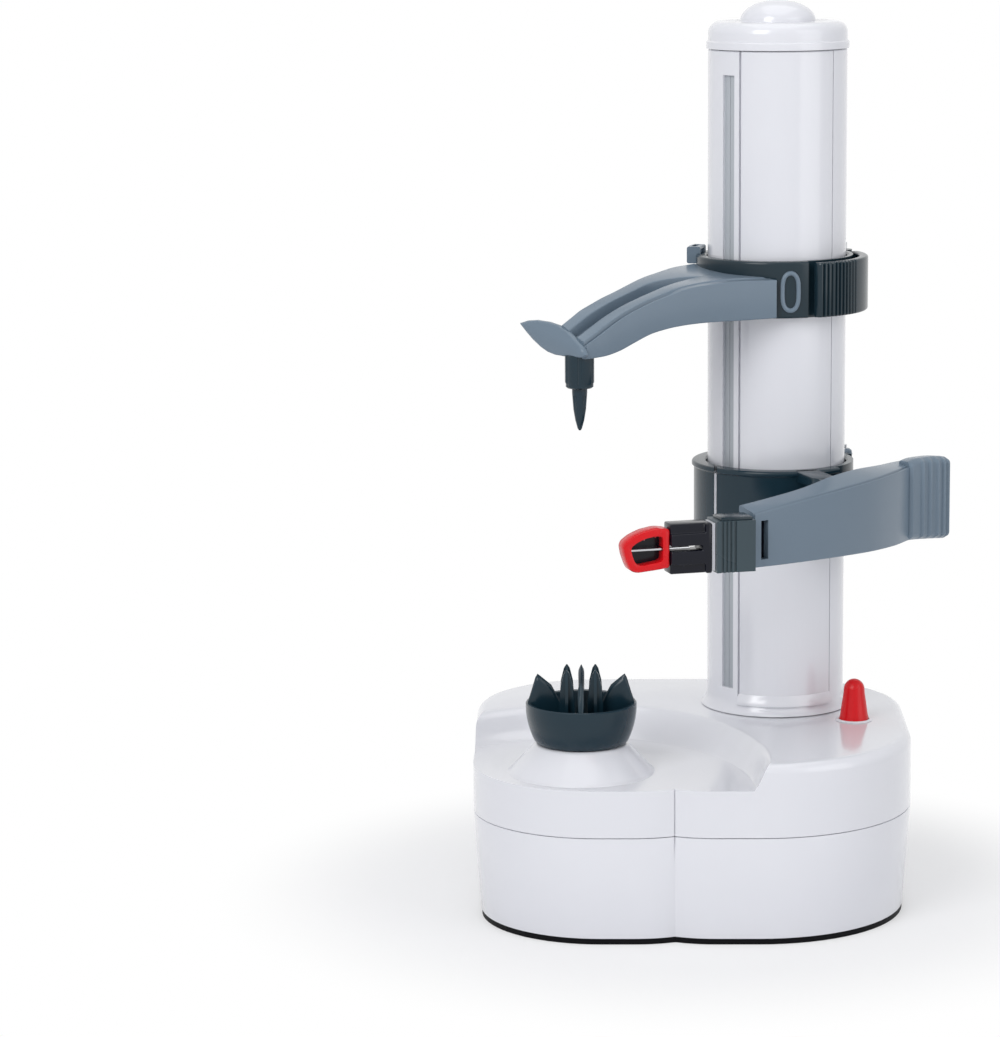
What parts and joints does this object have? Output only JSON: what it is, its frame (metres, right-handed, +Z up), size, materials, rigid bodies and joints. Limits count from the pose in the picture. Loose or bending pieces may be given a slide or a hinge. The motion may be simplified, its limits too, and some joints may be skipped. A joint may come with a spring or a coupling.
{
  "type": "electric peeler",
  "caption": "Tabletop electric peeler: white base with a spiked turntable cup, round tower with lead screw, upper arm with a fruit pin, and a sprung lever with a guarded blade.",
  "frame": {"origin": "on the table, on the axis of the tower, under the bottom plate", "axes": "+Z up along the tower; -Y to the front, where the turntable and the blade are seen; +X to the right, the side of the thumb grip"},
  "size_m": [0.155, 0.1337, 0.2904],
  "materials": {
    "white_shell": "gloss white moulded plastic",
    "slate_arm": "slate blue-grey moulded plastic",
    "teal_cup": "dark blue-green moulded plastic",
    "black_plate": "black moulded plastic",
    "red_plastic": "red moulded plastic",
    "steel": "plain steel",
    "brass": "plain brass",
    "nylon": "natural nylon",
    "cell_jacket": "dark metal jacket without print"
  },
  "bodies": {
    "base": {"base_top_shell": "white_shell", "base_lower_shell": "white_shell", "bottom_plate": "black_plate", "cell_door": "black_plate", "cell_1": "cell_jacket", "cell_2": "cell_jacket", "cell_3": "cell_jacket", "cell_4": "cell_jacket", "left_contact": "steel", "right_contact": "steel", "motor": "steel", "gear_plate": "steel", "turntable_bush": "brass", "tower_shell": "white_shell", "tower_front_cover": "white_shell", "tower_cap": "white_shell", "button_bezel": "black_plate", "start_switch": "black_plate", "casing_screw_1": "steel", "casing_screw_2": "steel", "casing_screw_3": "steel", "casing_screw_4": "steel"},
    "turntable": {"turntable_cup": "teal_cup", "turntable_shaft": "steel", "turntable_gear": "nylon"},
    "idler": {"idler_gear": "nylon", "idler_wheel": "nylon"},
    "second_stage": {"second_pinion": "nylon", "second_wheel": "nylon"},
    "first_stage": {"first_pinion": "nylon", "first_wheel": "nylon"},
    "motor_drive": {"motor_pinion": "brass"},
    "screw": {"lead_screw": "steel", "screw_gear": "nylon"},
    "arm": {"upper_arm": "slate_arm", "upper_nut": "nylon", "upper_grip_pin": "steel"},
    "arm_grip": {"upper_grip": "slate_arm"},
    "pin": {"fruit_pin": "teal_cup"},
    "carriage": {"peeler_carriage": "teal_cup", "carriage_nut": "nylon", "pivot_pin": "steel", "carriage_grip_pin": "steel"},
    "carriage_release": {"carriage_grip": "teal_cup"},
    "lever": {"peel_lever": "slate_arm", "blade_knuckle": "slate_arm", "blade_holder": "black_plate", "blade_guard": "red_plastic", "blade": "steel"},
    "button": {"start_button": "red_plastic"}
  },
  "joints": [
    {"name": "turntable_spin", "type": "hinge", "parent": "base", "child": "turntable", "pos_m": [-0.06415, -0.06024, 0.05], "axis": [0, 0, 1], "continuous": true},
    {"name": "idler_spin", "type": "hinge", "parent": "base", "child": "idler", "pos_m": [-0.03207, -0.03012, 0.01], "axis": [0, 0, 1], "continuous": true},
    {"name": "second_stage_spin", "type": "hinge", "parent": "base", "child": "second_stage", "pos_m": [-0.01707, -0.0561, 0.015], "axis": [0, 0, 1], "continuous": true},
    {"name": "first_stage_spin", "type": "hinge", "parent": "base", "child": "first_stage", "pos_m": [0.00793, -0.0561, 0.02], "axis": [0, 0, 1], "continuous": true},
    {"name": "motor_spin", "type": "hinge", "parent": "base", "child": "motor_drive", "pos_m": [0.02529, -0.03812, 0.025], "axis": [0, 0, 1], "continuous": true},
    {"name": "screw_spin", "type": "hinge", "parent": "base", "child": "screw", "pos_m": [0, 0, 0.1], "axis": [0, 0, 1], "continuous": true},
    {"name": "upper_arm_slide", "type": "slide", "parent": "base", "child": "arm", "axis": [0, 0, 1], "range_m": [-0.045, 0.06]},
    {"name": "upper_grip_swing", "type": "hinge", "parent": "arm", "child": "arm_grip", "pos_m": [0.02281, 0.01658, 0.2], "axis": [0, 0, -1], "range_deg": [0, 2.2], "stiffness_Nm_per_rad": 2, "springref_deg": -1.15},
    {"name": "fruit_pin_spin", "type": "hinge", "parent": "arm", "child": "pin", "pos_m": [-0.06415, -0.06024, 0.17], "axis": [0, 0, 1], "continuous": true},
    {"name": "peeler_slide", "type": "slide", "parent": "base", "child": "carriage", "axis": [0, 0, 1], "range_m": [-0.035, 0.04]},
    {"name": "carriage_grip_swing", "type": "hinge", "parent": "carriage", "child": "carriage_release", "pos_m": [0.0233, 0.01693, 0.13], "axis": [0, 0, -1], "range_deg": [0, 2.2], "stiffness_Nm_per_rad": 2, "springref_deg": -1.15},
    {"name": "peel_lever_swing", "type": "hinge", "parent": "carriage", "child": "lever", "pos_m": [0.0135, -0.0375, 0.13], "axis": [0, 0, 1], "range_deg": [-20, 15], "stiffness_Nm_per_rad": 0.3},
    {"name": "button_press", "type": "slide", "parent": "base", "child": "button", "axis": [0, 0, -1], "range_m": [0, 0.0025], "stiffness_N_per_m": 400, "springref_m": -0.0005}
  ],
  "couplings": [
    {"joint": "idler_spin", "follows": "turntable_spin", "ratio": -0.89655},
    {"joint": "screw_spin", "follows": "turntable_spin", "ratio": 1},
    {"joint": "second_stage_spin", "follows": "turntable_spin", "ratio": 4.4828},
    {"joint": "first_stage_spin", "follows": "turntable_spin", "ratio": -17.931},
    {"joint": "motor_spin", "follows": "turntable_spin", "ratio": 71.724}
  ]
}
